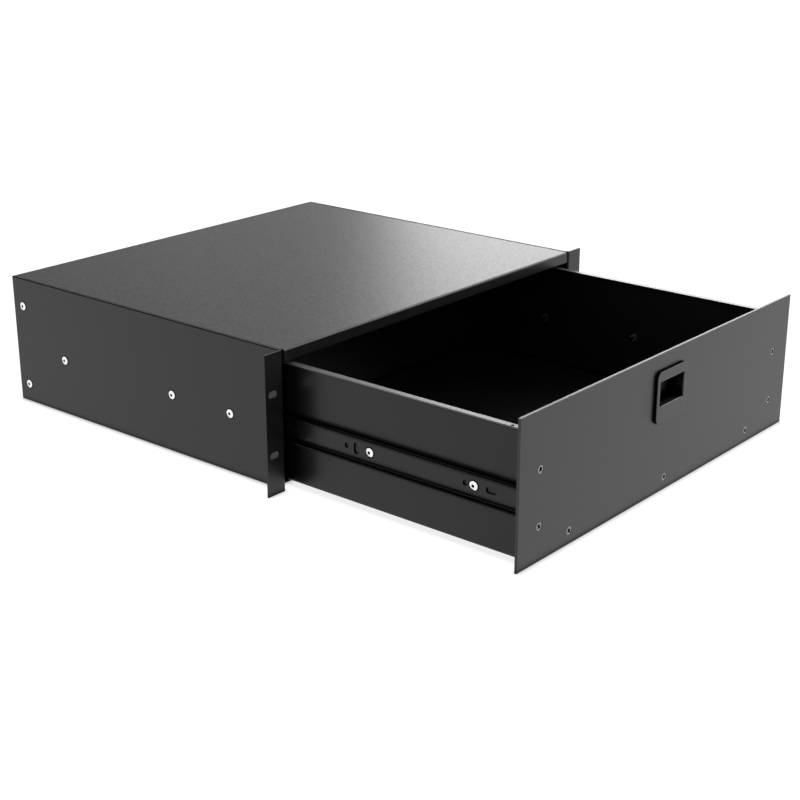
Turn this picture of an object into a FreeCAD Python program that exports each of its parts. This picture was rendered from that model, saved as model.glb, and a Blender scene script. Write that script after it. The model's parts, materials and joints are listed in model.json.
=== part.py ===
import FreeCAD, Part
import math
import os

from FreeCAD import Vector

# Sliding rack drawer, three rack units high, on two-section ball-bearing slides.
# Millimetres.  +X is to the right seen from the front, +Y runs to the rear, +Z is up.
# The origin is the centre of the rack mounting plane: the rear faces of the two ears,
# midway between the four rack slots.  The drawer stands at full extension.

# ---- rack interface -------------------------------------------------------------
RACK_WIDTH = 482.6              # over the two ears
RACK_HEIGHT = 132.5             # three rack units less the standard gap
EAR_WIDTH = 20.6                # ears outside the side panels
SLOT_INSET = 8.75               # slot centres from the ears' outer edges
SLOT_SPACING_Z = 57.15
SLOT_LENGTH = 10.2
SLOT_WIDTH = 6.8

# ---- sheet metal ----------------------------------------------------------------
SIDE_SHEET = 1.5                # side panels and their ears
COVER_SHEET = 1.2               # top cover, bottom plate and rear panel
TRAY_SHEET = 1.2                # drawer walls and floor
BEND_RADIUS = 0.8               # inside radius of every bend
SEAM_GAP = 0.15                 # between sheets that are only laid against each other
WELD_FLANGE = 12.0              # flange that is spot-welded to the next sheet

# ---- housing --------------------------------------------------------------------
HOUSING_RISE = 0.85             # underside above the ears' lower edges
HOUSING_DROP = 0.5              # top below the ears' upper edges
LIP_HEIGHT = 10.8               # front lip of the top cover
LIP_INSET = 4.2                 # ends of the lip from the side panels' outer faces
BOTTOM_SETBACK = 10.0           # front edge of the bottom plate behind the rack plane
REAR_FLANGE = 21.0              # side flanges of the rear panel
REAR_SCREW_INSET = 14.3         # screw line in front of the rear face
REAR_SCREW_DROP = 29.15         # upper screws below the top
REAR_SCREW_RISE = 18.8          # lower screws above the underside

# ---- ball-bearing slides ----------------------------------------------------------
SLIDE_SPACE = 9.5               # between the side panel and the drawer wall
SLIDE_RISE = 52.4               # slide centre line above the drawer's underside
SLIDE_REAR_GAP = 1.8            # outer members to the rear panel's flanges
SLIDE_HEIGHT = 35.0
SLIDE_GAUGE = 1.3
OUTER_START = 3.5               # front end of the outer member behind the rack plane
OUTER_LENGTH = 350.0
OUTER_FLANGE = 8.0              # depth of the outer member's flanges
OUTER_SCREW_Y = (62.0, 140.0, 298.0)    # from the outer member's front end
INNER_HEIGHT = 24.4
INNER_FLANGE = 6.7              # depth of the inner member's flanges
INNER_SETBACK = 5.7             # front end of the inner member behind the front panel
INNER_SCREW_Y = (44.9, 156.3, 267.7)    # from the inner member's front end
INNER_HOLES_Y = (53.8, 182.6)   # round access holes in the inner member
INNER_HOLE_D = 4.8
INNER_ADJUST_Y = 27.4           # lengthwise adjusting slot
INNER_LIFT_Y = 171.8            # upright adjusting slot
ADJUST_LENGTH = 10.6
ADJUST_WIDTH = 5.2
BALL_D = 4.76
BALL_PLAY = 0.15                # between a ball and its grooves
BALL_INSET = 5.3                # ball centres from the side panel
BALLS_PER_ROW = 3
CAGE_GAUGE = 0.6
CAGE_CLEARANCE = 0.45           # between the cage web and the outer member's web
CAGE_RIM = 0.7                  # metal left outside each ball hole
STOP_GAP = 0.3                  # left at each stop so that nothing overlaps
STOP_WIDTH = 8.0
STOP_LENGTH = 1.6
TRAVEL = 254.0                  # from shut to fully open

# ---- drawer -----------------------------------------------------------------------
DRAWER_FLOOR_GAP = 4.75         # under the drawer, from the housing's underside
DRAWER_LIP_GAP = 4.3            # over the drawer, to the lip
DRAWER_REAR_GAP = 4.3           # to the rear panel when shut
TOP_FLANGE = 7.5                # stiffening flange along the top of the walls
FRONT_FLANGE = 23.5             # flange of each side wall behind the front panel
FLANGE_RELIEF = 4.5             # flange ends stand clear of the corners
FLOOR_FLANGE = 14.0             # front flange of the floor
FLOOR_FLANGE_GAP = 2.2          # ends of the floor flange to the walls' flanges
RIM_HOLE_D = 3.2
RIM_HOLE_SETBACK = 17.3         # behind the front end of the wall

# ---- front panel ------------------------------------------------------------------
PANEL_OVERHANG = 2.2            # beyond the side panels' outer faces
PANEL_DROP = 0.6                # top edge below the ears' upper edges
PANEL_SHEET = 2.4
PANEL_GAP = 0.7                 # to the ears when shut
PANEL_EASE = 0.4                # eased edges
PANEL_SCREW_INSET = 14.7        # side screws from the walls' inner faces
PANEL_SCREW_HEIGHTS = (23.0, -26.6)     # side screws from the slide line
FOOT_SCREW_INSET = 34.0         # outer foot screws from the ends of the floor flange
FOOT_SCREW_RISE = 5.45          # foot screws above the floor's underside

# ---- fasteners --------------------------------------------------------------------
SCREW_D = 4.0
SCREW_PLAY = 0.15               # radial, between a shank and its hole
PAN_HEAD_D = 8.8
PAN_HEAD_H = 2.0
HEAD_RIM = 0.35                 # share of a pan head's height that is its straight rim
FLAT_HEAD_D = 8.4
NUT_ACROSS_FLATS = 7.0
NUT_H = 2.8
SHANK_END = 0.8                 # shank past its nut
INNER_SCREW_END = 4.4           # longer tips of the screws inside the drawer

# ---- slam latch -------------------------------------------------------------------
LATCH_DROP = 39.4               # centre of the bezel below the panel's top edge
BEZEL_WIDTH = 49.0
BEZEL_HEIGHT = 48.0
BEZEL_PROUD = 2.8
BEZEL_CORNER = 6.0
BEZEL_EASE = 0.6
CUTOUT_WIDTH = 44.0
CUTOUT_HEIGHT = 43.0
CUTOUT_CORNER = 2.0
CUTOUT_PLAY = 0.3
LATCH_WALL = 2.0
LATCH_DEPTH = 16.0              # behind the front panel
WINDOW_WIDTH = 39.4
WINDOW_HEIGHT = 22.4
WINDOW_RISE = 3.1               # window centre above the bezel centre
WINDOW_EASE = 0.6
BOLT_WIDTH = 30.0
BOLT_THICKNESS = 6.0
BOLT_ENGAGEMENT = 5.8           # behind the lip
BOLT_LIP_GAP = 0.7              # bolt to lip when shut
BOLT_BEVEL = 5.0
BOLT_PLAY = 0.3
PADDLE_WALL = 2.0
SHELF_THICKNESS = 3.2
LUG_WIDTH = 8.0
LUG_THICKNESS = 3.0
LUG_DROP = 8.0                  # lug below the top of the paddle
SPRING_D = 5.0
SPRING_WIRE = 0.8
SPRING_TURNS = 5
CAP_WALL = 1.5
COVER_SCREW_D = 2.2
COVER_SCREW_HEAD_D = 4.2
COVER_SCREW_HEAD_H = 1.3
COVER_SCREW_LENGTH = 5.0
BOSS_D = 5.0
BOSS_X = 15.5
BOSS_SINK = 1.0                 # boss into the housing wall

# ---- what follows from those sizes ------------------------------------------------
slot_x = RACK_WIDTH / 2 - SLOT_INSET
side_outer = RACK_WIDTH / 2 - EAR_WIDTH
side_inner = side_outer - SIDE_SHEET
wall_outer = side_inner - SLIDE_SPACE
wall_inner = wall_outer - TRAY_SHEET
lip_half = side_outer - LIP_INSET
panel_half = side_outer + PANEL_OVERHANG
floor_flange_half = wall_outer - FRONT_FLANGE - FLOOR_FLANGE_GAP
panel_screw_x = wall_inner - PANEL_SCREW_INSET
foot_screw_x = floor_flange_half - FOOT_SCREW_INSET
housing_bottom = -RACK_HEIGHT / 2 + HOUSING_RISE
housing_top = RACK_HEIGHT / 2 - HOUSING_DROP
lip_bottom = housing_top - LIP_HEIGHT
panel_bottom = -RACK_HEIGHT / 2
panel_top = RACK_HEIGHT / 2 - PANEL_DROP
drawer_bottom = housing_bottom + DRAWER_FLOOR_GAP
drawer_top = lip_bottom - DRAWER_LIP_GAP
floor_bottom = drawer_bottom + TRAY_SHEET
floor_top = floor_bottom + TRAY_SHEET
foot_screw_z = floor_bottom + FOOT_SCREW_RISE
slide_z = drawer_bottom + SLIDE_RISE
latch_z = panel_top - LATCH_DROP
ear_front = -SIDE_SHEET
outer_end = OUTER_START + OUTER_LENGTH
rear_inner = outer_end + SLIDE_REAR_GAP + REAR_FLANGE
housing_rear = rear_inner + COVER_SHEET
panel_rear = ear_front - PANEL_GAP - TRAVEL
panel_front = panel_rear - PANEL_SHEET
drawer_rear = rear_inner - DRAWER_REAR_GAP - TRAVEL
ball_r = BALL_D / 2
groove_r = ball_r + BALL_PLAY
outer_bore = SLIDE_HEIGHT / 2 - SLIDE_GAUGE
ball_z = (outer_bore + INNER_HEIGHT / 2) / 2
ball_x = side_inner - BALL_INSET
inner_start = panel_rear + INNER_SETBACK
inner_end = outer_end - SLIDE_GAUGE - STOP_GAP - TRAVEL
bolt_front = ear_front + COVER_SHEET + BOLT_LIP_GAP - TRAVEL
bolt_rear = bolt_front + BOLT_THICKNESS
window_z = latch_z + WINDOW_RISE
latch_back = panel_rear + LATCH_DEPTH
tube_width = CUTOUT_WIDTH - 2 * CUTOUT_PLAY
tube_height = CUTOUT_HEIGHT - 2 * CUTOUT_PLAY
cavity_width = tube_width - 2 * LATCH_WALL
cavity_height = tube_height - 2 * LATCH_WALL
cavity_floor = latch_z - cavity_height / 2
cavity_roof = latch_z + cavity_height / 2


# ---- helpers ----------------------------------------------------------------------
def block(x, y, z):
    """A box between pairs of limits."""
    corner = Vector(min(x), min(y), min(z))
    return Part.makeBox(abs(x[1] - x[0]), abs(y[1] - y[0]), abs(z[1] - z[0]), corner)


def rod(start, direction, radius, length):
    """A cylinder from a point along a direction."""
    return Part.makeCylinder(radius, length, start, direction)


def offset_points(points, distance):
    """The polyline moved sideways, to the left of its own direction."""
    moved = []
    for i, point in enumerate(points):
        before = (point - points[i - 1]).normalize() if i > 0 else None
        after = (points[i + 1] - point).normalize() if i + 1 < len(points) else None
        before = before or after
        after = after or before
        left = Vector(-before.y - after.y, before.x + after.x, 0)
        scale = 2 * distance / (left.Length ** 2)
        moved.append(point + left * scale)
    return moved


def rounded_path(points, thickness, on_left_face):
    """Edges along one face of a folded sheet, with its bends at the corners."""
    edges = []
    start = points[0]
    for i in range(1, len(points) - 1):
        before = (points[i] - points[i - 1]).normalize()
        after = (points[i + 1] - points[i]).normalize()
        turn = math.atan2(before.x * after.y - before.y * after.x, before.dot(after))
        inner = (turn > 0) == on_left_face
        radius = BEND_RADIUS if inner else BEND_RADIUS + thickness
        reach = radius * math.tan(abs(turn) / 2)
        first = points[i] - before * reach
        last = points[i] + after * reach
        inward = (after - before).normalize()
        middle = points[i] + inward * (radius / math.cos(turn / 2) - radius)
        edges.append(Part.LineSegment(start, first).toShape())
        edges.append(Part.Arc(first, middle, last).toShape())
        start = last
    edges.append(Part.LineSegment(start, points[-1]).toShape())
    return edges


def bent_sheet(corners, thickness, length, plane):
    """A folded sheet: corners run along one face, and the sheet lies to their left.

    A negative thickness lays it to their right.
    plane "xz" takes corners (x, z) and extrudes along +Y, "yz" takes (y, z) and
    extrudes along +X, "xy" takes (x, y) and extrudes along +Z.  The strip starts at
    zero on the extruded axis.
    """
    near = [Vector(a, b, 0) for a, b in corners]
    far = offset_points(near, thickness)
    leftward = thickness > 0
    edges = rounded_path(near, abs(thickness), not leftward)
    edges.append(Part.LineSegment(near[-1], far[-1]).toShape())
    back = rounded_path(far, abs(thickness), leftward)
    edges.extend(reversed(back))
    edges.append(Part.LineSegment(far[0], near[0]).toShape())
    face = Part.Face(Part.Wire(Part.__sortEdges__(edges)))
    solid = face.extrude(Vector(0, 0, length))
    if plane == "xz":
        solid.rotate(Vector(0, 0, 0), Vector(1, 0, 0), 90)
        solid.translate(Vector(0, length, 0))
    if plane == "yz":
        solid.rotate(Vector(0, 0, 0), Vector(1, 1, 1), 120)
    return solid


def moved(shape, x=0.0, y=0.0, z=0.0):
    shape.translate(Vector(x, y, z))
    return shape


def mirrored(shape):
    """The same piece on the other side of the drawer."""
    return shape.mirror(Vector(0, 0, 0), Vector(1, 0, 0))


def joined(*shapes):
    first, rest = shapes[0], list(shapes[1:])
    return first.multiFuse(rest).removeSplitter() if rest else first


def slot_cutter(centre, direction, along, length, width, depth):
    """An obround cutter through a sheet, centred on the sheet."""
    radius = width / 2
    run = (length - width) / 2
    start = centre - direction * (depth / 2)
    ends = [rod(start + along * side * run, direction, radius, depth) for side in (-1, 1)]
    across = direction.cross(along)
    corners = []
    for a, b in ((-1, -1), (1, -1), (1, 1), (-1, 1)):
        corners.append(start + along * (a * run) + across * (b * radius))
    middle = Part.Face(Part.makePolygon(corners + corners[:1])).extrude(direction * depth)
    return ends[0].fuse([ends[1], middle]).removeSplitter()


def revolved(profile, origin, direction):
    """A turned piece: (radius, height) pairs, arcs given as a third point, about +Z."""
    edges = []
    start = profile[0]
    for step in profile[1:]:
        end = Vector(step[0], 0, step[1])
        begin = Vector(start[0], 0, start[1])
        if len(step) == 4:
            edges.append(Part.Arc(begin, Vector(step[2], 0, step[3]), end).toShape())
        else:
            edges.append(Part.LineSegment(begin, end).toShape())
        start = step
    solid = Part.Face(Part.Wire(edges)).revolve(Vector(0, 0, 0), Vector(0, 0, 1), 360)
    turn = FreeCAD.Rotation(Vector(0, 0, 1), direction)
    solid.Placement = FreeCAD.Placement(origin, turn)
    return solid


def pan_screw(seat, outward, grip):
    """A domed machine screw whose head sits on the seat and points outward."""
    head_r = PAN_HEAD_D / 2
    shank_r = SCREW_D / 2
    rise = PAN_HEAD_H * (1 - HEAD_RIM)
    dome_r = (head_r ** 2 + rise ** 2) / (2 * rise)
    half_angle = math.asin(head_r / dome_r) / 2
    middle_r = dome_r * math.sin(half_angle)
    middle_z = PAN_HEAD_H - dome_r * (1 - math.cos(half_angle))
    profile = [
        (0, -grip), (shank_r, -grip), (shank_r, 0), (head_r, 0), (head_r, PAN_HEAD_H - rise),
        (0, PAN_HEAD_H, middle_r, middle_z), (0, -grip),
    ]
    return revolved(profile, seat, outward)


def flat_screw(face, outward, grip):
    """A countersunk screw whose head lies flush with the face."""
    head_r = FLAT_HEAD_D / 2 - SCREW_PLAY
    shank_r = SCREW_D / 2
    depth = head_r - shank_r
    sink = SCREW_PLAY
    profile = [
        (0, -grip), (shank_r, -grip), (shank_r, -depth - sink), (head_r, -sink),
        (0, -sink), (0, -grip),
    ]
    return revolved(profile, face, outward)


def hex_nut(seat, outward):
    """A clinch nut standing on a sheet, with a bore that clears the shank."""
    corner = NUT_ACROSS_FLATS / math.sqrt(3)
    points = []
    for step in range(7):
        angle = math.radians(60 * step)
        points.append(Vector(corner * math.cos(angle), corner * math.sin(angle), 0))
    body = Part.Face(Part.makePolygon(points)).extrude(UP * NUT_H)
    body = body.cut(rod(Vector(0, 0, 0), UP, SCREW_D / 2 + SCREW_PLAY / 2, NUT_H))
    body.Placement = FreeCAD.Placement(seat, FreeCAD.Rotation(UP, outward))
    return body


def shank_holes(points, direction, depth):
    """Clearance holes through sheets, started half the depth before each point."""
    radius = SCREW_D / 2 + SCREW_PLAY
    return [rod(p - direction * (depth / 2), direction, radius, depth) for p in points]


def rounded_block(width, height, corner, y_front, y_back, z_centre, x_centre=0.0):
    """A plate with rounded corners, standing in the XZ plane."""
    solid = block((x_centre - width / 2, x_centre + width / 2), (y_front, y_back),
                  (z_centre - height / 2, z_centre + height / 2))
    upright = [e for e in solid.Edges if abs(e.tangentAt(e.FirstParameter).y) > 0.99]
    return solid.makeFillet(corner, upright)


LEFT = Vector(-1, 0, 0)
RIGHT = Vector(1, 0, 0)
FRONT = Vector(0, -1, 0)
REAR = Vector(0, 1, 0)
UP = Vector(0, 0, 1)


# ---- fastener places, all on the left side ------------------------------------------
def outer_screw_points(x):
    return [Vector(x, OUTER_START + y, slide_z) for y in OUTER_SCREW_Y]


def inner_screw_points(x):
    return [Vector(x, inner_start + y, slide_z) for y in INNER_SCREW_Y]


def rear_screw_points(x):
    heights = (housing_top - REAR_SCREW_DROP, housing_bottom + REAR_SCREW_RISE)
    return [Vector(x, housing_rear - REAR_SCREW_INSET, z) for z in heights]


def panel_side_points(y):
    return [Vector(x, y, slide_z + height)
            for x in (-panel_screw_x, panel_screw_x) for height in PANEL_SCREW_HEIGHTS]


def panel_foot_points(y):
    return [Vector(x, y, foot_screw_z) for x in (-foot_screw_x, 0, foot_screw_x)]


def panel_screw_points(y):
    return panel_side_points(y) + panel_foot_points(y)


# ---- housing ----------------------------------------------------------------------
def side_panel():
    """Left side panel with its rack ear folded outward."""
    ear_edge = -RACK_WIDTH / 2
    ear = bent_sheet([(-side_inner, WELD_FLANGE), (-side_inner, ear_front), (ear_edge, ear_front)],
                     -SIDE_SHEET, RACK_HEIGHT, "xy")
    ear = moved(ear, z=-RACK_HEIGHT / 2)
    trim = [block((-side_outer - 1, -side_inner + 1), (2 * BEND_RADIUS, 2 * WELD_FLANGE), z)
            for z in ((-RACK_HEIGHT, housing_bottom), (housing_top, RACK_HEIGHT))]
    ear = ear.cut(trim)
    wall = block((-side_outer, -side_inner), (WELD_FLANGE / 2, housing_rear),
                 (housing_bottom, housing_top))
    panel = joined(ear, wall)
    cutters = []
    for z in (-SLOT_SPACING_Z / 2, SLOT_SPACING_Z / 2):
        centre = Vector(-slot_x, ear_front / 2, z)
        cutters.append(slot_cutter(centre, REAR, RIGHT, SLOT_LENGTH, SLOT_WIDTH, 4 * SIDE_SHEET))
    x = -(side_outer + side_inner) / 2
    cutters += shank_holes(outer_screw_points(x) + rear_screw_points(x), RIGHT, 4 * SIDE_SHEET)
    return panel.cut(cutters)


def flanged_plate(y0, y1, outer_z, flange_tip_z):
    """A plate between the side panels with both edges folded along them."""
    x = side_inner - SEAM_GAP
    inward = COVER_SHEET if flange_tip_z < outer_z else -COVER_SHEET
    corners = [(-x, flange_tip_z), (-x, outer_z), (x, outer_z), (x, flange_tip_z)]
    return moved(bent_sheet(corners, -inward, y1 - y0, "xz"), y=y0)


def top_cover():
    """Top cover: side flanges inside the side panels and a lip across the front."""
    flange_start = BEND_RADIUS + 2 * COVER_SHEET
    flange_stop = rear_inner - REAR_FLANGE - SEAM_GAP
    folded = flanged_plate(flange_start, flange_stop, housing_top, housing_top - WELD_FLANGE)
    half = side_inner - SEAM_GAP
    tail = block((-half, half), (flange_stop, housing_rear),
                 (housing_top - COVER_SHEET, housing_top))
    lip_corners = [(ear_front, lip_bottom), (ear_front, housing_top),
                   (flange_start + COVER_SHEET, housing_top)]
    lip = moved(bent_sheet(lip_corners, -COVER_SHEET, 2 * lip_half, "yz"), x=-lip_half)
    return joined(folded, tail, lip)


def bottom_plate():
    flange_stop = rear_inner - REAR_FLANGE - SEAM_GAP
    folded = flanged_plate(BOTTOM_SETBACK, flange_stop, housing_bottom,
                           housing_bottom + WELD_FLANGE)
    half = side_inner - SEAM_GAP
    tail = block((-half, half), (flange_stop, housing_rear),
                 (housing_bottom, housing_bottom + COVER_SHEET))
    return joined(folded, tail)


def rear_panel():
    """Rear panel with side flanges that the side screws hold."""
    x = side_inner - SEAM_GAP
    tip = rear_inner - REAR_FLANGE
    corners = [(-x, tip), (-x, housing_rear), (x, housing_rear), (x, tip)]
    bottom = housing_bottom + COVER_SHEET
    panel = moved(bent_sheet(corners, -COVER_SHEET, housing_top - COVER_SHEET - bottom, "xy"),
                  z=bottom)
    holes = shank_holes(rear_screw_points(-x), RIGHT, 4 * COVER_SHEET)
    holes += shank_holes(rear_screw_points(x), RIGHT, 4 * COVER_SHEET)
    return panel.cut(holes)


# ---- slides -----------------------------------------------------------------------
def ball_grooves(y0, y1):
    return [rod(Vector(-ball_x, y0, slide_z + side * ball_z), REAR, groove_r, y1 - y0)
            for side in (-1, 1)]


def outer_member():
    """Outer slide member: a channel open to the drawer, with a stop at each end."""
    half = SLIDE_HEIGHT / 2
    tip = -side_inner + OUTER_FLANGE
    corners = [(tip, half), (-side_inner, half), (-side_inner, -half), (tip, -half)]
    channel = bent_sheet(corners, SLIDE_GAUGE, OUTER_LENGTH, "xz")
    channel = moved(channel, y=OUTER_START, z=slide_z)
    channel = channel.cut(ball_grooves(OUTER_START - 1, outer_end + 1))
    web = -side_inner + SLIDE_GAUGE
    stop_z = (slide_z - STOP_WIDTH / 2, slide_z + STOP_WIDTH / 2)
    front_stop = block((web - SLIDE_GAUGE / 2, web + 2 * STOP_LENGTH),
                       (OUTER_START, OUTER_START + STOP_LENGTH), stop_z)
    rear_stop = block((web - SLIDE_GAUGE / 2, -wall_outer - BALL_PLAY),
                      (outer_end - SLIDE_GAUGE, outer_end), stop_z)
    channel = joined(channel, front_stop, rear_stop)
    return channel.cut(shank_holes(outer_screw_points(web), RIGHT, 4 * SLIDE_GAUGE))


def inner_member():
    """Inner slide member: a channel on the drawer wall, open to the side."""
    half = INNER_HEIGHT / 2
    tip = -wall_outer - INNER_FLANGE
    length = inner_end - inner_start
    corners = [(tip, half), (-wall_outer, half), (-wall_outer, -half), (tip, -half)]
    channel = bent_sheet(corners, -SLIDE_GAUGE, length, "xz")
    channel = moved(channel, y=inner_start, z=slide_z)
    channel = channel.cut(ball_grooves(inner_start - 1, inner_end + 1))
    web = -wall_outer - SLIDE_GAUGE
    lug_tip = -side_inner + SLIDE_GAUGE + CAGE_CLEARANCE
    lug = block((web, lug_tip), (inner_end - STOP_LENGTH, inner_end),
                (slide_z - STOP_WIDTH / 4, slide_z + STOP_WIDTH / 4))
    channel = joined(channel, lug)
    middle = web + SLIDE_GAUGE / 2
    depth = 4 * SLIDE_GAUGE
    cutters = shank_holes(inner_screw_points(middle), RIGHT, depth)
    for y in INNER_HOLES_Y:
        start = Vector(middle - depth / 2, inner_start + y, slide_z)
        cutters.append(rod(start, RIGHT, INNER_HOLE_D / 2, depth))
    for y, along in ((INNER_ADJUST_Y, REAR), (INNER_LIFT_Y, UP)):
        centre = Vector(middle, inner_start + y, slide_z)
        cutters.append(slot_cutter(centre, RIGHT, along, ADJUST_LENGTH, ADJUST_WIDTH, depth))
    return channel.cut(cutters)


cage_start = OUTER_START + STOP_LENGTH + STOP_GAP
cage_end = inner_end - STOP_LENGTH - STOP_GAP


def ball_points():
    """Ball centres, evenly spaced along the cage in an upper and a lower row."""
    pitch = (cage_end - cage_start) / BALLS_PER_ROW
    rows = []
    for side in (-1, 1):
        for i in range(BALLS_PER_ROW):
            y = cage_start + pitch * (i + 0.5)
            rows.append(Vector(-ball_x, y, slide_z + side * ball_z))
    return rows


def ball_cage():
    """Pressed cage that spaces the balls between the two members."""
    web = -side_inner + SLIDE_GAUGE + CAGE_CLEARANCE
    tip = -ball_x + ball_r + BALL_PLAY + CAGE_RIM
    half = ball_z + CAGE_GAUGE / 2
    corners = [(tip, half), (web, half), (web, -half), (tip, -half)]
    cage = bent_sheet(corners, CAGE_GAUGE, cage_end - cage_start, "xz")
    cage = moved(cage, y=cage_start, z=slide_z)
    holes = [rod(p - UP * CAGE_GAUGE, UP, groove_r, 2 * CAGE_GAUGE) for p in ball_points()]
    return cage.cut(holes)


def balls():
    return Part.makeCompound([Part.makeSphere(ball_r, p) for p in ball_points()])


# ---- drawer -----------------------------------------------------------------------
def drawer_wall():
    """Left wall: rim flange on top, weld flange below and a flange behind the panel."""
    length = drawer_rear - panel_rear
    corners = [(-wall_outer + WELD_FLANGE, drawer_bottom), (-wall_outer, drawer_bottom),
               (-wall_outer, drawer_top), (-wall_outer + TOP_FLANGE, drawer_top)]
    relief = TRAY_SHEET + 2 * BEND_RADIUS
    folded = moved(bent_sheet(corners, -TRAY_SHEET, length - relief, "xz"), y=panel_rear + relief)
    flange_bottom = floor_top + FLANGE_RELIEF
    flange_top = drawer_top - FLANGE_RELIEF
    front_corners = [(-wall_outer, panel_rear + 2 * relief), (-wall_outer, panel_rear),
                     (-wall_outer + FRONT_FLANGE, panel_rear)]
    front = moved(bent_sheet(front_corners, TRAY_SHEET, flange_top - flange_bottom, "xy"),
                  z=flange_bottom)
    wall = joined(folded, front)
    x = -(wall_outer + wall_inner) / 2
    cutters = shank_holes(inner_screw_points(x), RIGHT, 4 * TRAY_SHEET)
    cutters += shank_holes(panel_screw_points(panel_rear), REAR, 4 * TRAY_SHEET)
    hole = Vector(-wall_outer + TOP_FLANGE / 2, panel_rear + RIM_HOLE_SETBACK, drawer_top)
    cutters.append(rod(hole - UP * (2 * TRAY_SHEET), UP, RIM_HOLE_D / 2, 4 * TRAY_SHEET))
    return wall.cut(cutters)


def drawer_floor():
    """Floor on the walls' weld flanges, folded up behind the front panel.

    It ends between the side flanges of the rear wall, which clears the walls' bends.
    """
    half = wall_inner - TRAY_SHEET - 2 * SEAM_GAP
    setback = TRAY_SHEET + 2 * BEND_RADIUS
    plate_rear = drawer_rear - TRAY_SHEET - BEND_RADIUS - SEAM_GAP
    plate = block((-half, half), (panel_rear + setback, plate_rear), (floor_bottom, floor_top))
    corners = [(panel_rear + 2 * setback, floor_bottom), (panel_rear, floor_bottom),
               (panel_rear, floor_bottom + FLOOR_FLANGE)]
    flange = moved(bent_sheet(corners, -TRAY_SHEET, 2 * floor_flange_half, "yz"),
                   x=-floor_flange_half)
    floor = joined(plate, flange)
    return floor.cut(shank_holes(panel_screw_points(panel_rear), REAR, 4 * TRAY_SHEET))


def drawer_rear_wall():
    """Rear wall between the side walls, folded forward on all four edges."""
    inner_tip = drawer_rear - WELD_FLANGE
    half = wall_outer - WELD_FLANGE - SEAM_GAP
    corners = [(inner_tip, drawer_bottom), (drawer_rear, drawer_bottom),
               (drawer_rear, drawer_top), (drawer_rear - TOP_FLANGE, drawer_top)]
    folded = moved(bent_sheet(corners, TRAY_SHEET, 2 * half, "yz"), x=-half)
    x = wall_inner - SEAM_GAP
    side_bottom = floor_top + SEAM_GAP
    side_top = drawer_top - FLANGE_RELIEF
    side_corners = [(-x, inner_tip), (-x, drawer_rear), (x, drawer_rear), (x, inner_tip)]
    sides = moved(bent_sheet(side_corners, -TRAY_SHEET, side_top - side_bottom, "xy"), z=side_bottom)
    return joined(folded, sides)


# ---- front panel ------------------------------------------------------------------
def front_panel():
    panel = block((-panel_half, panel_half), (panel_front, panel_rear), (panel_bottom, panel_top))
    front_edges = [e for e in panel.Edges if abs(e.CenterOfMass.y - panel_front) < 1e-6]
    panel = panel.makeChamfer(PANEL_EASE, front_edges)
    cutters = [rounded_block(CUTOUT_WIDTH, CUTOUT_HEIGHT, CUTOUT_CORNER,
                             panel_front - 1, panel_rear + 1, latch_z)]
    head_r = FLAT_HEAD_D / 2
    hole_r = SCREW_D / 2 + SCREW_PLAY
    for point in panel_screw_points(panel_front):
        cutters.append(rod(point - REAR, REAR, hole_r, PANEL_SHEET + 2))
        cutters.append(Part.makeCone(head_r, hole_r, head_r - hole_r, point, REAR))
    return panel.cut(cutters)


def panel_screws():
    """Side screws run into clinch nuts, foot screws into the tapped floor flange."""
    foot_grip = PANEL_SHEET + TRAY_SHEET + SHANK_END
    side_grip = foot_grip + NUT_H
    screws = [flat_screw(p, FRONT, side_grip) for p in panel_side_points(panel_front)]
    screws += [flat_screw(p, FRONT, foot_grip) for p in panel_foot_points(panel_front)]
    return Part.makeCompound(screws)


def panel_nuts():
    seat = panel_rear + TRAY_SHEET
    return Part.makeCompound([hex_nut(p, REAR) for p in panel_side_points(seat)])


# ---- slam latch -------------------------------------------------------------------
def bolt_slot(z0, z1):
    """The slot that the bolt rises through."""
    half = BOLT_WIDTH / 2 + BOLT_PLAY
    return block((-half, half), (bolt_front - BOLT_PLAY, bolt_rear + BOLT_PLAY), (z0, z1))


def cover_screw_points(y):
    reach = cavity_height / 2 - BOSS_D / 2 + BOSS_SINK
    return [Vector(x, y, latch_z + z) for x in (-BOSS_X, BOSS_X) for z in (-reach, reach)]


def latch_housing():
    """Bezel and body moulded in one, let into the front panel."""
    face = panel_front - BEZEL_PROUD
    bezel = rounded_block(BEZEL_WIDTH, BEZEL_HEIGHT, BEZEL_CORNER, face, panel_front, latch_z)
    rim = [e for e in bezel.Edges if abs(e.CenterOfMass.y - face) < 1e-6]
    bezel = bezel.makeFillet(BEZEL_EASE, rim)
    tube = rounded_block(tube_width, tube_height, CUTOUT_CORNER, panel_front, latch_back, latch_z)
    body = joined(bezel, tube)
    cavity = block((-cavity_width / 2, cavity_width / 2), (panel_rear, latch_back + 1),
                   (cavity_floor, cavity_roof))
    window = block((-WINDOW_WIDTH / 2, WINDOW_WIDTH / 2), (face - 1, panel_rear + 1),
                   (window_z - WINDOW_HEIGHT / 2, window_z + WINDOW_HEIGHT / 2))
    body = body.cut([cavity, window, bolt_slot(cavity_roof - 1, cavity_roof + 2 * LATCH_WALL)])
    window_rim = [e for e in body.Edges
                  if abs(e.CenterOfMass.y - face) < 1e-6
                  and abs(e.CenterOfMass.z - window_z) < WINDOW_HEIGHT / 2 + 1e-6
                  and abs(e.CenterOfMass.x) < WINDOW_WIDTH / 2 + 1e-6]
    body = body.makeChamfer(WINDOW_EASE, window_rim)
    bosses = [rod(p, FRONT, BOSS_D / 2, COVER_SCREW_LENGTH) for p in cover_screw_points(latch_back)]
    body = joined(body, *bosses)
    pilot = [rod(p, FRONT, COVER_SCREW_D / 2 + BALL_PLAY / 2, COVER_SCREW_LENGTH)
             for p in cover_screw_points(latch_back)]
    return body.cut(pilot)


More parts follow.
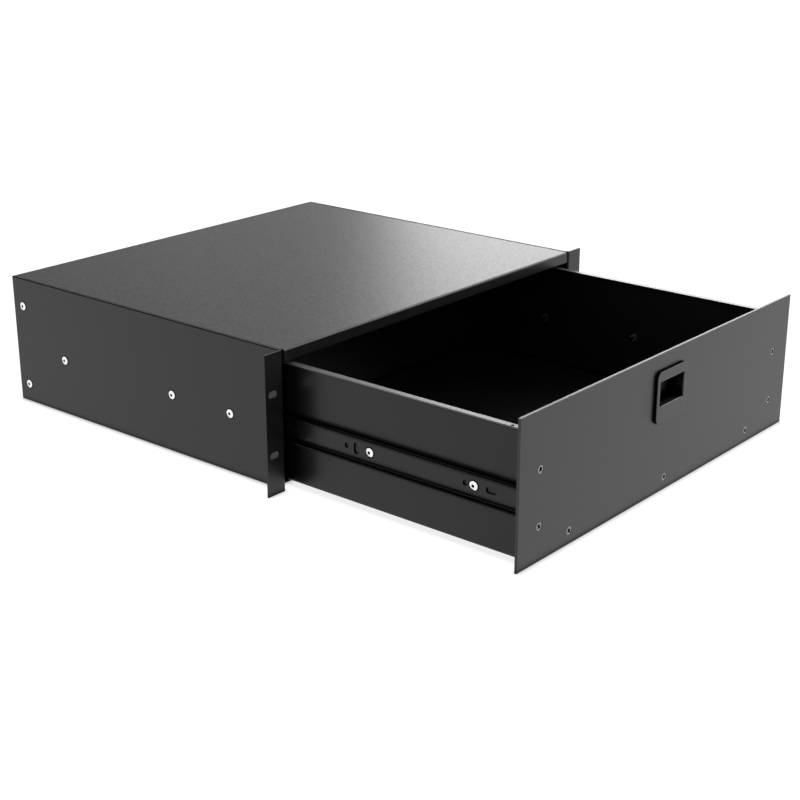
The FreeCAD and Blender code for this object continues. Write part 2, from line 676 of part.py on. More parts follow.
def latch_cover():
    """Cap behind the front panel that clamps the latch housing in its cut-out."""
    back = latch_back + CAP_WALL
    outer = rounded_block(BEZEL_WIDTH, BEZEL_HEIGHT, BEZEL_CORNER / 2, panel_rear, back, latch_z)
    inner = rounded_block(CUTOUT_WIDTH, CUTOUT_HEIGHT, CUTOUT_CORNER,
                          panel_rear - 1, latch_back, latch_z)
    cap = outer.cut([inner, bolt_slot(cavity_roof, latch_z + BEZEL_HEIGHT)])
    radius = COVER_SCREW_D / 2 + SCREW_PLAY
    holes = [rod(p - REAR, REAR, radius, CAP_WALL + 2) for p in cover_screw_points(latch_back)]
    return cap.cut(holes)


def latch_cover_screws():
    """Cheese-head screws from the cap into the bosses."""
    grip = CAP_WALL + COVER_SCREW_LENGTH - SHANK_END
    head_r = COVER_SCREW_HEAD_D / 2
    shank_r = COVER_SCREW_D / 2
    profile = [
        (0, -grip), (shank_r, -grip), (shank_r, 0), (head_r, 0),
        (head_r, COVER_SCREW_HEAD_H), (0, COVER_SCREW_HEAD_H), (0, -grip),
    ]
    seats = cover_screw_points(latch_back + CAP_WALL)
    return Part.makeCompound([revolved(profile, p, REAR) for p in seats])


bolt_tip = lip_bottom + BOLT_ENGAGEMENT
shelf_bottom = window_z - WINDOW_HEIGHT / 2 - BOLT_PLAY - SHELF_THICKNESS
paddle_half = cavity_width / 2 - BOLT_PLAY
paddle_top = cavity_roof - BOLT_PLAY
lug_bottom = paddle_top - LUG_DROP


def latch_bolt():
    """Spring bolt: bevelled nose, paddle behind the window and a shelf for the finger."""
    half = BOLT_WIDTH / 2
    nose_bottom = window_z + WINDOW_HEIGHT / 2 + BOLT_PLAY
    outline = [Vector(-half, bolt_front, nose_bottom), Vector(-half, bolt_rear, nose_bottom),
               Vector(-half, bolt_rear, bolt_tip - BOLT_BEVEL),
               Vector(-half, bolt_rear - BOLT_BEVEL, bolt_tip),
               Vector(-half, bolt_front, bolt_tip), Vector(-half, bolt_front, nose_bottom)]
    nose = Part.Face(Part.makePolygon(outline)).extrude(RIGHT * BOLT_WIDTH)
    paddle = block((-paddle_half, paddle_half), (bolt_rear, bolt_rear + PADDLE_WALL),
                   (shelf_bottom, paddle_top))
    shelf = block((-paddle_half, paddle_half), (panel_rear + BOLT_PLAY, bolt_rear + PADDLE_WALL),
                  (shelf_bottom, shelf_bottom + SHELF_THICKNESS))
    lug = block((-LUG_WIDTH / 2, LUG_WIDTH / 2),
                (bolt_rear + PADDLE_WALL, latch_back - BOLT_PLAY),
                (lug_bottom, lug_bottom + LUG_THICKNESS))
    return joined(nose, paddle, shelf, lug)


def latch_spring():
    """Compression spring of flat wire behind the paddle, from the cavity floor to the lug."""
    height = lug_bottom - cavity_floor
    run = height - SPRING_WIRE
    radius = (SPRING_D - SPRING_WIRE) / 2
    helix = Part.makeHelix(run / SPRING_TURNS, run, radius)
    half = SPRING_WIRE / 2
    corners = [Vector(radius - half, 0, -half), Vector(radius + half, 0, -half),
               Vector(radius + half, 0, half), Vector(radius - half, 0, half),
               Vector(radius - half, 0, -half)]
    section = Part.Wire(Part.makePolygon(corners))
    coil = Part.Wire(helix).makePipeShell([section], True, True)
    spring_y = (bolt_rear + PADDLE_WALL + latch_back) / 2
    return moved(coil, y=spring_y, z=cavity_floor + half)


# ---- screws and nuts on both sides -------------------------------------------------
def both_sides(pieces):
    return Part.makeCompound(pieces + [mirrored(piece) for piece in pieces])


def slide_mount_screws():
    grip = SIDE_SHEET + SLIDE_GAUGE - SCREW_PLAY
    return both_sides([pan_screw(p, LEFT, grip) for p in outer_screw_points(-side_outer)])


def rear_panel_screws():
    grip = SIDE_SHEET + SEAM_GAP + COVER_SHEET + NUT_H + SHANK_END
    return both_sides([pan_screw(p, LEFT, grip) for p in rear_screw_points(-side_outer)])


def rear_panel_nuts():
    seat = -side_inner + SEAM_GAP + COVER_SHEET
    return both_sides([hex_nut(p, RIGHT) for p in rear_screw_points(seat)])


def inner_slide_screws():
    grip = SLIDE_GAUGE + TRAY_SHEET + NUT_H + INNER_SCREW_END
    seat = -wall_outer - SLIDE_GAUGE
    return both_sides([pan_screw(p, LEFT, grip) for p in inner_screw_points(seat)])


def inner_slide_nuts():
    return both_sides([hex_nut(p, RIGHT) for p in inner_screw_points(-wall_inner)])


# ---- write every piece ---------------------------------------------------------------
def main():
    os.makedirs("parts", exist_ok=True)
    pieces = {
        "left_side_panel": side_panel(),
        "top_cover": top_cover(),
        "bottom_plate": bottom_plate(),
        "rear_panel": rear_panel(),
        "left_outer_member": outer_member(),
        "slide_mount_screws": slide_mount_screws(),
        "rear_panel_screws": rear_panel_screws(),
        "rear_panel_nuts": rear_panel_nuts(),
        "left_inner_member": inner_member(),
        "left_ball_cage": ball_cage(),
        "left_balls": balls(),
        "drawer_left_wall": drawer_wall(),
        "drawer_floor": drawer_floor(),
        "drawer_rear_wall": drawer_rear_wall(),
        "inner_slide_screws": inner_slide_screws(),
        "inner_slide_nuts": inner_slide_nuts(),
        "front_panel": front_panel(),
        "panel_screws": panel_screws(),
        "panel_nuts": panel_nuts(),
        "latch_housing": latch_housing(),
        "latch_cover": latch_cover(),
        "latch_cover_screws": latch_cover_screws(),
        "latch_bolt": latch_bolt(),
        "latch_spring": latch_spring(),
    }
    for name in [n for n in pieces if "left_" in n]:
        pieces[name.replace("left_", "right_")] = mirrored(pieces[name])
    for name, shape in sorted(pieces.items()):
        shape.exportStep("parts/" + name + ".step")
        print(name, len(shape.Solids), round(shape.Volume, 1), shape.isValid())


main()
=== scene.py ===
"""Looks for the sliding rack drawer: black powder-coated steel on ball-bearing slides."""
import json
import math

import bmesh
import bpy
from mathutils import Matrix, Vector
from mathutils.bvhtree import BVHTree


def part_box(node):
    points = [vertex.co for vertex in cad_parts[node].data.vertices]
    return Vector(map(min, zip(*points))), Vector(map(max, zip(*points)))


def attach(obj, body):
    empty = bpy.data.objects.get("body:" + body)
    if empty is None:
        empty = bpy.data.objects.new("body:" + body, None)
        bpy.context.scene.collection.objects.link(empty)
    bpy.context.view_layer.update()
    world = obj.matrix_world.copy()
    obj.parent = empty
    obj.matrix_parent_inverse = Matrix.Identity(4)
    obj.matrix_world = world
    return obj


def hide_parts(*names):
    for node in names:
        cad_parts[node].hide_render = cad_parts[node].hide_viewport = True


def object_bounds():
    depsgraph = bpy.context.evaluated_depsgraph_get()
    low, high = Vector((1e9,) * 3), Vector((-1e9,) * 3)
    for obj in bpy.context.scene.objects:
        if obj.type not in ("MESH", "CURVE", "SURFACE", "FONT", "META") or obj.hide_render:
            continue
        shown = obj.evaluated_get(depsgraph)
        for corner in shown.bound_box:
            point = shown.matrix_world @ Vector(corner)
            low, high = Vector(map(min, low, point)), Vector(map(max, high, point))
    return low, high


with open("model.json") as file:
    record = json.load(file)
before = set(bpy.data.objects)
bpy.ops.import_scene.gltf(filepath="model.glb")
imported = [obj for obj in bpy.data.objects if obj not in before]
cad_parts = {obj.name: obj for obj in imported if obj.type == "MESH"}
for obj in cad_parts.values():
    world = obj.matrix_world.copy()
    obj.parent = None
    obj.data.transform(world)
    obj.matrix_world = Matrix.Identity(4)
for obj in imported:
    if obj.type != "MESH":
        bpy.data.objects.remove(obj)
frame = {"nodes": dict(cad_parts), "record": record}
cad_box = [list(corner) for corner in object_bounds()]
nodes = frame["nodes"]
slot_of_node = {piece["node"]: piece["material_slot"] for piece in frame["record"]["subparts"]}
MM = 0.001


# ---- small helpers ----------------------------------------------------------------
def linear(hex_colour):
    """An sRGB hex colour as the linear colour that the shaders take."""
    channels = []
    for start in (1, 3, 5):
        value = int(hex_colour[start:start + 2], 16) / 255
        if value <= 0.04045:
            channels.append(value / 12.92)
        else:
            channels.append(((value + 0.055) / 1.055) ** 2.4)
    return (*channels, 1.0)


def add_node(tree, kind, settings=None, inputs=None):
    """A node with its settings; each input takes a value or another node's output."""
    node = tree.nodes.new(kind)
    for name, value in (settings or {}).items():
        setattr(node, name, value)
    for key, value in (inputs or {}).items():
        if isinstance(value, bpy.types.NodeSocket):
            tree.links.new(value, node.inputs[key])
        else:
            node.inputs[key].default_value = value
    return node


def new_material(name):
    """An empty material with its output node: (material, tree, output)."""
    material = bpy.data.materials.new(name)
    material.use_nodes = True
    material.node_tree.nodes.clear()
    output = add_node(material.node_tree, "ShaderNodeOutputMaterial")
    return material, material.node_tree, output


def mesh_of(shape, name):
    """A mesh from a bmesh, which is freed."""
    mesh = bpy.data.meshes.new(name)
    shape.to_mesh(mesh)
    shape.free()
    return mesh


def new_object(name, data):
    """An object at the origin around a mesh, a lamp or a camera."""
    thing = bpy.data.objects.new(name, data)
    bpy.context.scene.collection.objects.link(thing)
    return thing


def new_piece(name, mesh, material):
    """An object at the origin around a mesh, with one material."""
    mesh.materials.clear()
    mesh.materials.append(material)
    return new_object(name, mesh)


def plain_mesh(source, name):
    """The evaluated shape of an object, modifiers included, as a mesh of its own."""
    bpy.context.view_layer.update()
    evaluated = source.evaluated_get(bpy.context.evaluated_depsgraph_get())
    mesh = bpy.data.meshes.new_from_object(evaluated)
    mesh.name = name
    return mesh


# ---- where a coat changes from place to place ---------------------------------------
# The limits are distances along three directions: "out" from the middle plane towards
# either side, "back" along +Y and "up" along +Z.
TOP_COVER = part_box("top_cover")
# The edges of the side sheets beside the top cover, the outer half behind the ears: painted black
# as the shadow in the seam.
TOP_SEAM = {
    "out": TOP_COVER[1][0] + 0.95 * MM,
    "up": TOP_COVER[1][2] - 0.75 * MM,
    "back": 1.0 * MM,
}
# The topmost millimetre of the drawer's walls, where a pale highlight is painted on faces that lie
# upward.
DRAWER_RIMS = {"up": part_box("drawer_left_wall")[1][2] - 1.0 * MM}
# The flanges and raceways of an inner slide member, over this depth from their tips, which are
# darkened as painted shade in the grooves.
RACEWAY_DEPTH = 5.0 * MM
RACEWAYS = {"out": -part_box("left_inner_member")[0][0] - RACEWAY_DEPTH}
LYING = 0.7                     # a face lies upward when its normal rises more than this

# How far around a point its openness is felt, and which openness counts as 0 and as 1; it sets the
# painted shade.
SHEET_CORNERS = {"reach": 9 * MM, "least": 0.45, "most": 0.8}
SLIDE_GROOVES = {"reach": 5 * MM, "least": 0.6, "most": 0.92}
MOULDED_RECESSES = {"reach": 9 * MM, "least": 0.8, "most": 0.98}

UNLIT_BLACK = "#020202"         # painted shade in corners, grooves and recesses, the top seam and the raceways
# The pale grey of the highlight painted on the drawer's rims.
RIM_HIGHLIGHT_GREY = "#505051"
# The black of the painted shade on screws: recesses, undersides and the rim around a head.
SCREW_SHADE_BLACK = "#0b0b0b"
EVEN_SHEEN = 0.5                # the plain strength of a coat's reflection


def open_surface(tree, reach, least, most):
    """0 deep in a corner, a groove or a recess, rising to 1 on an open face: the mask of the
    painted shade.
    """
    around = add_node(tree, "ShaderNodeAmbientOcclusion", {"samples": 6},
                      {"Distance": reach})
    share = add_node(tree, "ShaderNodeMapRange", inputs={
        "Value": around.outputs["AO"], "From Min": least, "From Max": most})
    return share.outputs["Result"]


def where_past(tree, values, limits):
    """1 where every named value is past its limit, else 0."""
    inside = 1.0
    for side, limit in limits.items():
        past = add_node(tree, "ShaderNodeMath", {"operation": "GREATER_THAN"},
                        {0: values[side], 1: limit})
        both = add_node(tree, "ShaderNodeMath", {"operation": "MULTIPLY"},
                        {0: past.outputs["Value"], 1: inside})
        inside = both.outputs["Value"]
    return inside


# ---- powder coat --------------------------------------------------------------------
def powder_relief(tree, place, grain):
    """(pattern of the fine grain, normal of the film): rounded edges, waves and grain."""
    edges = add_node(tree, "ShaderNodeBevel", {"samples": 4}, {"Radius": 0.5 * MM})
    # Orange peel: low waves some 6 mm long.
    peel = add_node(tree, "ShaderNodeTexNoise", inputs={
        "Vector": place, "Scale": 1 / (6 * MM), "Detail": 1.0})
    waves = add_node(tree, "ShaderNodeBump", inputs={
        "Height": peel.outputs["Fac"], "Strength": 0.25, "Distance": 0.02 * MM,
        "Normal": edges.outputs["Normal"]})
    # Cured powder has a grain of about 0.4 mm; it is drawn at 1.4 mm, so that it shows.
    fine = add_node(tree, "ShaderNodeTexNoise", inputs={
        "Vector": place, "Scale": 1 / (1.4 * MM), "Detail": 3.0, "Roughness": 0.7})
    bumps = add_node(tree, "ShaderNodeBump", inputs={
        "Height": fine.outputs["Fac"], "Strength": grain, "Distance": 0.06 * MM,
        "Normal": waves.outputs["Normal"]})
    return fine.outputs["Fac"], bumps.outputs["Normal"]


def powder_sparkle(tree, place, lying, grain):
    """Strength of the reflection: even on standing faces, speckled on those that lie upward."""
    # The speckle is about 1 mm wide; it is drawn at 2.4 mm, so that a slanting view keeps it.
    speckle = add_node(tree, "ShaderNodeTexNoise", inputs={
        "Vector": place, "Scale": 1 / (2.4 * MM), "Detail": 2.0, "Roughness": 0.6})
    dots = add_node(tree, "ShaderNodeMapRange", inputs={
        "Value": speckle.outputs["Fac"], "From Min": 0.35, "From Max": 0.65,
        "To Min": 0.28, "To Max": 0.72})
    share = add_node(tree, "ShaderNodeMath", {"operation": "MULTIPLY"}, {0: lying, 1: grain})
    sheen = add_node(tree, "ShaderNodeMix", inputs={
        "Factor": share.outputs["Value"], "A": EVEN_SHEEN, "B": dots.outputs["Result"]})
    return sheen.outputs["Result"]


def painted_rim_highlight(tree, film, past_limits, lying):
    """The film's colour, with a pale highlight painted where a face lies upward past the limits."""
    rim_lit = add_node(tree, "ShaderNodeMath", {"operation": "MULTIPLY"},
                      {0: past_limits, 1: lying})
    lit_film = add_node(tree, "ShaderNodeMix", {"data_type": "RGBA"}, {
        "Factor": rim_lit.outputs["Value"], "A": film, "B": linear(RIM_HIGHLIGHT_GREY)})
    return lit_film.outputs["Result"]


def blackened(tree, open_share, past_limits, blackness):
    """The openness, lowered by the blackness past the limits: painted shade."""
    black = add_node(tree, "ShaderNodeMath", {"operation": "MULTIPLY"},
                     {0: past_limits, 1: blackness})
    clean = add_node(tree, "ShaderNodeMath", {"operation": "SUBTRACT"},
                     {0: 1.0, 1: black.outputs["Value"]})
    left = add_node(tree, "ShaderNodeMath", {"operation": "MULTIPLY"},
                    {0: open_share, 1: clean.outputs["Value"]})
    return left.outputs["Value"]


def powder_coat(name, colour, pale_colour, roughness, grain, ior, corners=SHEET_CORNERS,
                black_on=None, blackness=1.0, highlight_on=None):
    """Black polyester powder coat, cured on steel.

    It looks satin, with a fine grain that sparkles where the light grazes it, a faint
    slow unevenness, and edges that the film rounds off so that they catch the light.
    In corners and grooves the colour and the reflection are painted black by ambient occlusion:
    painted shade.
    Faces that lie upward take more powder and show a coarser speckle.
    black_on and the last argument give the limits past which it is blackened as painted shade, or a
    pale highlight is painted on it.
    """
    material, tree, output = new_material(name)
    place = add_node(tree, "ShaderNodeTexCoord").outputs["Object"]
    where = add_node(tree, "ShaderNodeSeparateXYZ", inputs={"Vector": place}).outputs
    out = add_node(tree, "ShaderNodeMath", {"operation": "ABSOLUTE"}, {0: where["X"]})
    normal = add_node(tree, "ShaderNodeNewGeometry").outputs["Normal"]
    facing = add_node(tree, "ShaderNodeSeparateXYZ", inputs={"Vector": normal}).outputs
    values = {"out": out.outputs["Value"], "back": where["Y"], "up": where["Z"],
              "upward": facing["Z"]}
    lying = where_past(tree, values, {"upward": LYING})
    # Film thickness drifts over a hand's width.
    drift = add_node(tree, "ShaderNodeTexNoise", inputs={
        "Vector": place, "Scale": 1 / (90 * MM), "Detail": 2.0})
    tint = add_node(tree, "ShaderNodeMix", {"data_type": "RGBA"}, {
        "Factor": drift.outputs["Fac"], "A": linear(colour), "B": linear(pale_colour)})
    film = tint.outputs["Result"]
    # A pale highlight is painted on the rims that lie upward.
    if highlight_on:
        film = painted_rim_highlight(tree, film, where_past(tree, values, highlight_on), lying)
    # Painted shade: colour and reflection fall to black in corners and grooves, and past the limits
    # of black_on.
    open_share = open_surface(tree, **corners)
    if black_on:
        open_share = blackened(tree, open_share, where_past(tree, values, black_on), blackness)
    shaded_skin = add_node(tree, "ShaderNodeMix", {"data_type": "RGBA"}, {
        "Factor": open_share, "A": linear(UNLIT_BLACK), "B": film})
    pattern, relief = powder_relief(tree, place, grain)
    gloss = add_node(tree, "ShaderNodeMapRange", inputs={
        "Value": pattern, "From Min": 0.3, "From Max": 0.7,
        "To Min": roughness - 0.05, "To Max": roughness + 0.05})
    level = add_node(tree, "ShaderNodeMath", {"operation": "MULTIPLY"},
                     {0: open_share, 1: powder_sparkle(tree, place, lying, grain)})
    shader = add_node(tree, "ShaderNodeBsdfPrincipled", inputs={
        "Base Color": shaded_skin.outputs["Result"], "Roughness": gloss.outputs["Result"],
        "IOR": ior, "Normal": relief, "Specular IOR Level": level.outputs["Value"]})
    tree.links.new(shader.outputs["BSDF"], output.inputs["Surface"])
    return material


# ---- plated steel and moulded plastic -------------------------------------------------
def plated_steel(name, colour, dull_colour, roughness):
    """Plated, blackened or bare steel: metal with a slightly cloudy surface.

    Faces that carry the attribute "unlit" are painted black as shade: a screw's recess and
    underside, and the thin ring or dark rim around its head, which stand for the shadow there.
    """
    material, tree, output = new_material(name)
    place = add_node(tree, "ShaderNodeTexCoord").outputs["Object"]
    # Clouds in the plating, some 3 mm across.
    clouds = add_node(tree, "ShaderNodeTexNoise", inputs={
        "Vector": place, "Scale": 1 / (3 * MM), "Detail": 3.0})
    # Fine marks from tumbling, about 0.3 mm apart.
    marks = add_node(tree, "ShaderNodeTexNoise", inputs={
        "Vector": place, "Scale": 1 / (0.3 * MM), "Detail": 2.0})
    tint = add_node(tree, "ShaderNodeMix", {"data_type": "RGBA"}, {
        "Factor": clouds.outputs["Fac"], "A": linear(colour), "B": linear(dull_colour)})
    unlit = add_node(tree, "ShaderNodeAttribute", {"attribute_name": "unlit"})
    metal = add_node(tree, "ShaderNodeMix", {"data_type": "RGBA"}, {
        "Factor": unlit.outputs["Fac"], "A": tint.outputs["Result"], "B": linear(SCREW_SHADE_BLACK)})
    gloss = add_node(tree, "ShaderNodeMapRange", inputs={
        "Value": clouds.outputs["Fac"], "From Min": 0.3, "From Max": 0.7,
        "To Min": roughness - 0.04, "To Max": roughness + 0.06})
    bumps = add_node(tree, "ShaderNodeBump", inputs={
        "Height": marks.outputs["Fac"], "Strength": 0.1, "Distance": 0.02 * MM})
    shader = add_node(tree, "ShaderNodeBsdfPrincipled", inputs={
        "Base Color": metal.outputs["Result"], "Metallic": 1.0,
        "Roughness": gloss.outputs["Result"], "Normal": bumps.outputs["Normal"]})
    tree.links.new(shader.outputs["BSDF"], output.inputs["Surface"])
    return material


def moulded_plastic(name, colour, roughness, ior):
    """Black plastic from a spark-eroded mould: fine and satin, with rounded edges.

    Recesses are painted black, colour and reflection, by ambient occlusion: painted shade.
    """
    material, tree, output = new_material(name)
    place = add_node(tree, "ShaderNodeTexCoord").outputs["Object"]
    # Spark erosion leaves pits of about 0.1 mm; they are drawn at 0.5 mm, so that they show.
    pits = add_node(tree, "ShaderNodeTexVoronoi", inputs={
        "Vector": place, "Scale": 1 / (0.5 * MM)})
    edges = add_node(tree, "ShaderNodeBevel", {"samples": 4}, {"Radius": 0.7 * MM})
    bumps = add_node(tree, "ShaderNodeBump", inputs={
        "Height": pits.outputs["Distance"], "Strength": 0.12, "Distance": 0.03 * MM,
        "Normal": edges.outputs["Normal"]})
    gloss = add_node(tree, "ShaderNodeMapRange", inputs={
        "Value": pits.outputs["Distance"], "From Min": 0.0, "From Max": 0.8,
        "To Min": roughness - 0.03, "To Max": roughness + 0.05})
    open_share = open_surface(tree, **MOULDED_RECESSES)
    shaded_skin = add_node(tree, "ShaderNodeMix", {"data_type": "RGBA"}, {
        "Factor": open_share, "A": linear(UNLIT_BLACK), "B": linear(colour)})
    level = add_node(tree, "ShaderNodeMath", {"operation": "MULTIPLY"},
                     {0: open_share, 1: EVEN_SHEEN})
    shader = add_node(tree, "ShaderNodeBsdfPrincipled", inputs={
        "Base Color": shaded_skin.outputs["Result"], "Roughness": gloss.outputs["Result"],
        "IOR": ior, "Specular IOR Level": level.outputs["Value"],
        "Normal": bumps.outputs["Normal"]})
    tree.links.new(shader.outputs["BSDF"], output.inputs["Surface"])
    return material


finishes = {
    # The housing is satin and near black, and its top cover sparkles most; the seam beside the top
    # cover is painted black as its shadow.
    "housing_coat": powder_coat(
        "housing_powder_coat", "#0d0d0e", "#101011", roughness=0.37, grain=0.8, ior=1.46,
        black_on=TOP_SEAM),
    # The drawer's coat is darker and smoother, with a pale highlight painted on the rims.
    "drawer_coat": powder_coat(
        "drawer_powder_coat", "#070708", "#0a0a0b", roughness=0.3, grain=0.4, ior=1.42,
        highlight_on=DRAWER_RIMS),
    # The front panel reflects a little more and looks a shade lighter.
    "panel_coat": powder_coat(
        "panel_powder_coat", "#101011", "#131314", roughness=0.34, grain=0.5, ior=1.53),
    # Electro-coat is thin and even, so the slides shine; their raceways are darkened as painted
    # shade.
    "slide_coat": powder_coat(
        "slide_electro_coat", "#070708", "#0a0a0b", roughness=0.28, grain=0.1, ior=1.42,
        corners=SLIDE_GROOVES, black_on=RACEWAYS, blackness=0.6),
    # Bright zinc on screws and nuts is nearly white.
    "zinc_fasteners": plated_steel("bright_zinc_plate", "#fafafa", "#f0f1f2", 0.24),
    # Oiled black oxide on the panel and latch screws and the inner nuts is a dull grey metal.
    "dark_screws": plated_steel("black_oxide_steel", "#9a9a9e", "#828286", 0.36),
    # The cages' zinc-plated strip is a duller silver.
    "cage_steel": plated_steel("zinc_plated_strip", "#c6c7c8", "#adaeb0", 0.3),
    # Drawn wire is a bare grey steel.
    "spring_steel": plated_steel("drawn_spring_wire", "#b9babb", "#9c9d9e", 0.28),
    # Bearing balls are polished, and mirror what is near them.
    "ball_steel": plated_steel("polished_bearing_steel", "#dadbdc", "#d0d1d2", 0.1),
    # The latch's nylon is black and satin.
    "latch_moulding": moulded_plastic("spark_eroded_nylon", "#0b0b0c", 0.36, 1.6),
    # Its bolt is acetal: darker, with a softer reflection.
    "bolt_moulding": moulded_plastic("satin_acetal", "#070708", 0.36, 1.48),
}
for node_name, node_object in nodes.items():
    for material_slot in node_object.material_slots:
        material_slot.material = finishes[slot_of_node[node_name]]


# ---- screws -----------------------------------------------------------------------
# Sizes are in mm; a finished screw is brought to metres.
SEAT_DEPTH = 2.0                # from the outermost point of a CAD pan head to its seat
PAN_HEAD_D = 8.2
PAN_HEAD_H = 1.3
PAN_RIM = 0.5                   # straight rim under the dome
DOME_RINGS = 7
SHADE_RING_D = 10.1                   # thin ring under a pan head, painted black as the shadow around it
SHADE_RING_H = 0.15
SOCKET_D = 3.2                  # over the corners of the hexagon socket
SOCKET_DEPTH = 1.2
FLAT_HEAD_D = 8.2
FLAT_FACE_D = 7.3               # bright face inside the countersink's rim, which is painted black as shade
FLAT_RIM_DROP = 0.3             # from that face down to the rim's outer edge
CROSS_SPAN = 4.6                # over the arms of the cross recess
CROSS_FLOOR = 0.35              # its span at the bottom, as a share of that
CROSS_WIDTH = 1.7
CROSS_DEPTH = 1.8
SHANK_D = 4.0
TIP_TAPER = 0.9                 # radius of the tip, as a share of the thread's root
THREAD_PITCH = 0.7
THREAD_DEPTH = 0.35
HEAD_SEGMENTS = 32
SHARP_EDGE = 35                 # degrees; edges that turn less are smooth
PROUD = 0.01                    # a cutter stands this far above the head that it cuts
CUT_GAP = 0.001                 # a face this near to the cutter was cut by it
RIM_GAP = 0.01                  # a face this far outside the bright face is on the rim


def turned(profile, segments):
    """A closed turned shape about +Z from (radius, height) pairs."""
    shape = bmesh.new()
    rings = []
    for radius, height in profile:
        if radius == 0:
            rings.append([shape.verts.new((0, 0, height))])
            continue
        ring = []
        for step in range(segments):
            angle = 2 * math.pi * step / segments
            x = radius * math.cos(angle)
            y = radius * math.sin(angle)
            ring.append(shape.verts.new((x, y, height)))
        rings.append(ring)
    for lower, upper in zip(rings, rings[1:]):
        for step in range(segments):
            after = (step + 1) % segments
            corners = [lower[step % len(lower)], lower[after % len(lower)],
                       upper[after % len(upper)], upper[step % len(upper)]]
            shape.faces.new(list(dict.fromkeys(corners)))
    bmesh.ops.recalc_face_normals(shape, faces=shape.faces)
    return shape


def hexagon_socket():
    """The hexagon that cuts a pan head's socket."""
    top = PAN_HEAD_H + PROUD
    low = top - SOCKET_DEPTH
    return turned([(0, low), (SOCKET_D / 2, low), (SOCKET_D / 2, top), (0, top)], 6)


def cross_recess():
    """The tapered cross that cuts a countersunk head's screwdriver recess."""
    shape = bmesh.new()
    for turn in (0, 90):
        arm = bmesh.ops.create_cube(shape, size=1.0)["verts"]
        for vertex in arm:
            low = vertex.co.z < 0
            reach = CROSS_SPAN * CROSS_FLOOR if low else CROSS_SPAN
            height = PROUD - CROSS_DEPTH if low else PROUD
            vertex.co = Vector((vertex.co.x * reach, vertex.co.y * CROSS_WIDTH, height))
        quarter = Matrix.Rotation(math.radians(turn), 3, "Z")
        bmesh.ops.rotate(shape, verts=arm, cent=(0, 0, 0), matrix=quarter)
    return shape


def threaded_shank(grip, start):
    """Profile of the thread from the tip up to the start, as rings of crest and root."""
    root = SHANK_D / 2 - THREAD_DEPTH
    profile = [(0, -grip), (root * TIP_TAPER, -grip)]
    height = -grip + THREAD_PITCH / 2
    while height < start - THREAD_PITCH:
        profile.append((SHANK_D / 2, height))
        profile.append((root, height + THREAD_PITCH / 2))
        height += THREAD_PITCH
    profile.append((SHANK_D / 2, start - THREAD_PITCH / 4))
    return profile


def pan_profile(grip):
    """Domed head above its seat at height zero, with a threaded shank below."""
    head_r = PAN_HEAD_D / 2
    rise = PAN_HEAD_H - PAN_RIM
    dome_r = (head_r ** 2 + rise ** 2) / (2 * rise)
    profile = threaded_shank(grip, 0) + [
        (SHANK_D / 2, 0), (SHADE_RING_D / 2, 0), (SHADE_RING_D / 2, SHADE_RING_H), (head_r, SHADE_RING_H)]
    half_angle = math.asin(head_r / dome_r)
    for step in range(DOME_RINGS):
        angle = half_angle * (1 - step / DOME_RINGS)
        drop = dome_r * (1 - math.cos(angle))
        profile.append((dome_r * math.sin(angle), PAN_HEAD_H - drop))
    profile.append((0, PAN_HEAD_H))
    return profile


def flat_profile(grip):
    """Countersunk head whose top is at height zero, with a threaded shank below."""
    head_r = FLAT_HEAD_D / 2
    depth = head_r - SHANK_D / 2
    return threaded_shank(grip, -depth) + [
        (SHANK_D / 2, -depth), (head_r, -FLAT_RIM_DROP), (FLAT_FACE_D / 2, 0), (0, 0)]


def mark_unlit(mesh, cutter_faces, bright_r):
    """Marks the faces that the cutter left, and those below the head or outside it, as unlit for
    the painted shade.
    """
    mark = mesh.attributes.new("unlit", "FLOAT", "FACE")
    for face in mesh.polygons:
        in_recess = cutter_faces.find_nearest(face.center)[3] < CUT_GAP
        off_head = face.center.z < 0 or face.center.xy.length > bright_r + RIM_GAP
        mark.data[face.index].value = float(in_recess or off_head)


def cut_screw(name, profile, bright_r, cutter):
    """A screw with its recess cut, smooth on its turned faces, brought from mm to metres."""
    screw = new_object(name, mesh_of(turned(profile, HEAD_SEGMENTS), name))
    cutter_faces = BVHTree.FromBMesh(cutter)
    tool = new_object(name + "_cutter", mesh_of(cutter, name + "_cutter"))
    cut = screw.modifiers.new("recess", "BOOLEAN")
    cut.operation = "DIFFERENCE"
    cut.object = tool
    cut.solver = "EXACT"
    cut.use_self = True
    mesh = plain_mesh(screw, name)
    mark_unlit(mesh, cutter_faces, bright_r)
    mesh.transform(Matrix.Scale(MM, 4))
    screw.modifiers.clear()
    screw.data = mesh
    bpy.data.objects.remove(tool)
    mesh.shade_smooth()
    mesh.set_sharp_from_angle(angle=math.radians(SHARP_EDGE))
    return screw


